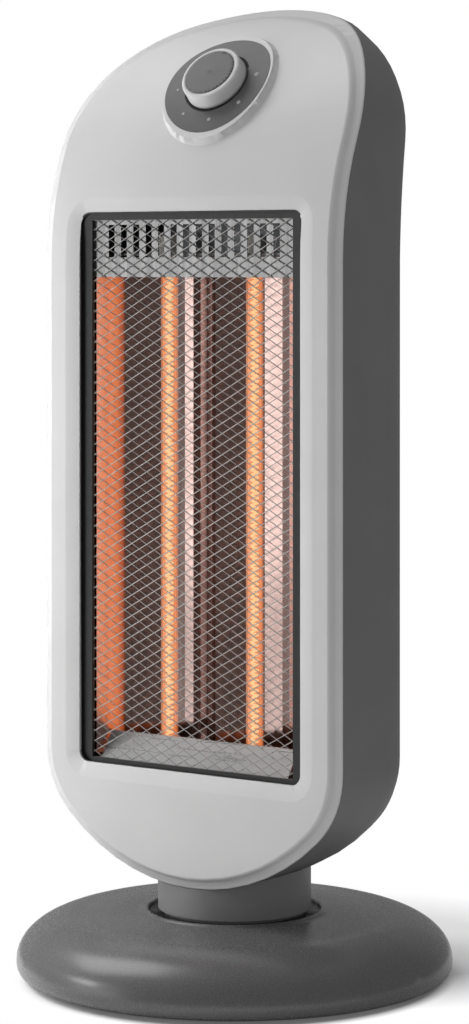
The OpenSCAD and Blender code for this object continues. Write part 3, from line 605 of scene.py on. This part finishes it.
def dial_dot(step):
    angle = math.radians(FIRST_DOT + DOT_STEP * step)
    up = Vector((0, DIAL_AXIS.z, -DIAL_AXIS.y))
    place = (DIAL_FOOT + Vector((1, 0, 0)) * DIAL_RING * math.cos(angle)
             + up * DIAL_RING * math.sin(angle))
    out = front_normal(place)
    place = Vector((place.x, 0, 0)) + SWEEP_CENTRE + out * DISC_SWEEP_R
    bpy.ops.object.select_all(action="DESELECT")
    bpy.ops.mesh.primitive_cylinder_add(
        vertices=DOT_SIDES, radius=DOT_R + DOT_GROWTH * step, depth=DOT_THICK,
        location=place + out * DOT_THICK / 2, rotation=out.to_track_quat("Z", "X").to_euler())
    dot = name_new("dial_dot")
    bpy.ops.object.transform_apply(location=True, rotation=True, scale=True)
    return dot


print_ink = moulded("printed ink", (0.34, 0.34, 0.34), 0.6, grain=2000.0)
dots = join([dial_dot(step) for step in range(DOTS)], "dial_marks")
finish(dots, "tower", print_ink)

# %% [markdown]
# ## Finishes of the other solids
# Every solid whose shape is right stays as it is and only gets its finish.

# %% Finishes
FINISHES = {
    base_plastic: ["base_plate"],
    neck_plastic_lightened_for_shade: ["neck"],
    black_plastic: ["tip_switch", "thermal_cutout", "rotary_switch"],
    slip_plastic_darkened_for_shade: ["bearing_ring", "tip_plunger"],
    rubber: ["rubber_feet", "cord_grommet", "wiring_harness"],
    black_paint: ["chamber_frame"],
    bright_steel: ["slot_plate", "motor_shaft", "switch_shaft"],
    tray_steel_painted_lighter: ["bottom_tray"],
    mirror_metal: ["reflector"],
    zinc_darkened_for_shade: ["base_screws", "swing_motor", "motor_screws", "swing_crank", "swing_plate",
           "swing_plate_screws", "neck_screws", "shell_screws", "heat_shield",
           "lamp_bracket_upper", "lamp_bracket_lower"],
    quartz: ["lamp_tubes"],
    ceramic: ["lamp_caps", "terminal_block"],
    sleeve: ["lamp_leads"],
}
for material, names in FINISHES.items():
    for node in names:
        set_material(nodes[node], material)
print("finished solids:", sum(len(names) for names in FINISHES.values()))

# %% [markdown]
# ## The room
# The picture has a white background, which the camera sees as it is. Bright metal
# mirrors the rest of the room. That is half dark behind the heater, darker to the
# right and darkest on the side that the camera stands on, which is why the
# reflector looks so deep, and it is white where the large soft box stands at the
# front left. All other rays find a soft sky, a little stronger on the left. A
# ray's direction is compared with a few fixed directions by a dot product, which
# is 1 where the two agree.

# %% The room
LEFT = (-0.88, -0.32, 0.32)
RIGHT = (1, 0, 0)
CAMERA_SIDE = (0.5, -0.87, 0.0)
BOX_SIDE = (-0.65, -0.76, 0.0)
SKY_RIGHT, SKY_LEFT = 0.47, 0.6
ROOM_BEHIND, ROOM_DARK, ROOM_RIGHT = 0.3, 0.075, 0.15
RIGHT_RANGE, CAMERA_RANGE = (-0.2, 0.5), (-0.1, 0.6)
BOX_RANGE, SKY_RANGE = (0.945, 0.965), (-0.8, 0.8)


def toward(tree, vector, side):
    node = add(tree, "ShaderNodeVectorMath", operation="DOT_PRODUCT")
    node.inputs[1].default_value = side
    tree.links.new(vector, node.inputs[0])
    return node.outputs["Value"]


def combine(tree, operation, first, second):
    node = add(tree, "ShaderNodeMath", operation=operation)
    tree.links.new(first, node.inputs[0])
    tree.links.new(second, node.inputs[1])
    return node.outputs[0]


def choose(tree, test, no, yes):
    node = add(tree, "ShaderNodeMix", data_type="FLOAT")
    tree.links.new(test, node.inputs["Factor"])
    for name, value in (("A", no), ("B", yes)):
        if isinstance(value, float):
            node.inputs[name].default_value = value
        else:
            tree.links.new(value, node.inputs[name])
    return node.outputs["Result"]


def room(tree, vector, rays):
    behind = remap(tree, toward(tree, vector, RIGHT), ROOM_BEHIND, ROOM_RIGHT, *RIGHT_RANGE)
    dark = remap(tree, toward(tree, vector, CAMERA_SIDE), behind, ROOM_DARK, *CAMERA_RANGE)
    box = remap(tree, toward(tree, vector, BOX_SIDE), 0.0, 1.0, *BOX_RANGE)
    mirrored = combine(tree, "MAXIMUM", dark, box)
    sky = remap(tree, toward(tree, vector, LEFT), SKY_RIGHT, SKY_LEFT, *SKY_RANGE)
    lit = choose(tree, rays.outputs["Is Glossy Ray"], sky, mirrored)
    through = combine(tree, "MAXIMUM", rays.outputs["Is Camera Ray"],
                      rays.outputs["Is Transmission Ray"])
    return choose(tree, through, lit, 1.0)


world = bpy.data.worlds.new("studio")
scene.world = world
world.use_nodes = True
sky_tree = world.node_tree
background = sky_tree.nodes["Background"]
background.inputs["Color"].default_value = (1, 1, 1, 1)
sky_coords = add(sky_tree, "ShaderNodeTexCoord")
sky_rays = add(sky_tree, "ShaderNodeLightPath")
sky_tree.links.new(room(sky_tree, sky_coords.outputs["Generated"], sky_rays),
                   background.inputs["Strength"])
print("sky from right to left:", SKY_RIGHT, SKY_LEFT)

# %% [markdown]
# ## The floor
# The heater stands on a pale floor that runs on into the white background. Close
# to the heater it is a real surface, so that it takes the shadow and throws light
# back, and further off it fades into the same glow as the room. For the camera it
# fades much closer: it sees real floor only under the base and in a patch behind
# it, where the shadow falls in the photograph.

# %% The floor
FLOOR_SIZE = 30
SHADOW = (0.02, 0.12, 0.0)
SHADOW_FADE = (0.1, 0.178)
BASE_FADE, BASE_GLOW = (0.132, 0.142), 0.1
FLOOR_FADE = (0.3, 0.75)


def floor_material():
    material, tree, shader = new_material("pale floor")
    shader.inputs["Base Color"].default_value = (0.8, 0.8, 0.8, 1)
    shader.inputs["Roughness"].default_value = 0.9
    shader.inputs["Specular IOR Level"].default_value = 0.0
    output = tree.nodes["Material Output"]
    rays = add(tree, "ShaderNodeLightPath")
    coords = add(tree, "ShaderNodeTexCoord")
    length = add(tree, "ShaderNodeVectorMath", operation="LENGTH")
    heading = add(tree, "ShaderNodeVectorMath", operation="NORMALIZE")
    tree.links.new(coords.outputs["Object"], length.inputs[0])
    tree.links.new(coords.outputs["Object"], heading.inputs[0])
    glow = add(tree, "ShaderNodeEmission")
    tree.links.new(room(tree, heading.outputs["Vector"], rays), glow.inputs["Strength"])
    mix = add(tree, "ShaderNodeMixShader")
    far = remap(tree, length.outputs["Value"], 0.0, 1.0, *FLOOR_FADE)
    off = add(tree, "ShaderNodeVectorMath", operation="DISTANCE")
    off.inputs[1].default_value = SHADOW
    tree.links.new(coords.outputs["Object"], off.inputs[0])
    near = combine(tree, "MULTIPLY", remap(tree, off.outputs["Value"], 0.0, 1.0, *SHADOW_FADE),
                   remap(tree, length.outputs["Value"], BASE_GLOW, 1.0, *BASE_FADE))
    tree.links.new(choose(tree, rays.outputs["Is Camera Ray"], far, near), mix.inputs["Fac"])
    tree.links.new(shader.outputs["BSDF"], mix.inputs[1])
    tree.links.new(glow.outputs["Emission"], mix.inputs[2])
    tree.links.new(mix.outputs["Shader"], output.inputs["Surface"])
    return material


bpy.ops.object.select_all(action="DESELECT")
bpy.ops.mesh.primitive_plane_add(size=FLOOR_SIZE, location=(0, 0, 0))
floor = name_new("floor")
set_material(floor, floor_material())
print("floor:", FLOOR_SIZE, "m wide")

# %% [markdown]
# ## The lamps of the studio
# A tall strip light near the left side gives the front its fall of light from left
# to right. It stays out of the mirrors. A large soft box at the front left gives
# the white streaks in the reflector, one high on the left the gleam on the head,
# and a small lamp with a narrow beam the highlight on the rim of the base.

# %% The lamps of the studio


def soft_box(name, place, target, size, power):
    light = bpy.data.lights.new(name, "AREA")
    light.shape = "RECTANGLE"
    light.size, light.size_y = size
    light.energy = power
    obj = bpy.data.objects.new(name, light)
    scene.collection.objects.link(obj)
    obj.location = place
    obj.rotation_euler = (Vector(target) - Vector(place)).to_track_quat("-Z", "Y").to_euler()
    return obj


front_box = soft_box("front left soft box", place=(-1.64, -1.92, 0.6), target=(0, 0, 0.5),
                     size=(1.55, 1.5), power=4.9)
low_lamp = soft_box("low left lamp", place=(-0.92, -0.77, 0.5), target=(-0.09, -0.11, 0.02),
                    size=(0.34, 0.2), power=0.045)
low_lamp.data.spread = math.radians(25)
top_box = soft_box("top soft box", place=(-1.4, -0.15, 2.15), target=(0, 0, 0.4),
                   size=(1.4, 1.4), power=20)
strip = soft_box("left strip light", place=(-0.45, -0.21, 0.38), target=(0, -0.05, 0.37),
                 size=(0.12, 0.5), power=2.75)
strip.visible_glossy = False
lights = (front_box, low_lamp, top_box, strip)
print("power of the lamps:", round(sum(light.data.energy for light in lights), 2), "W")
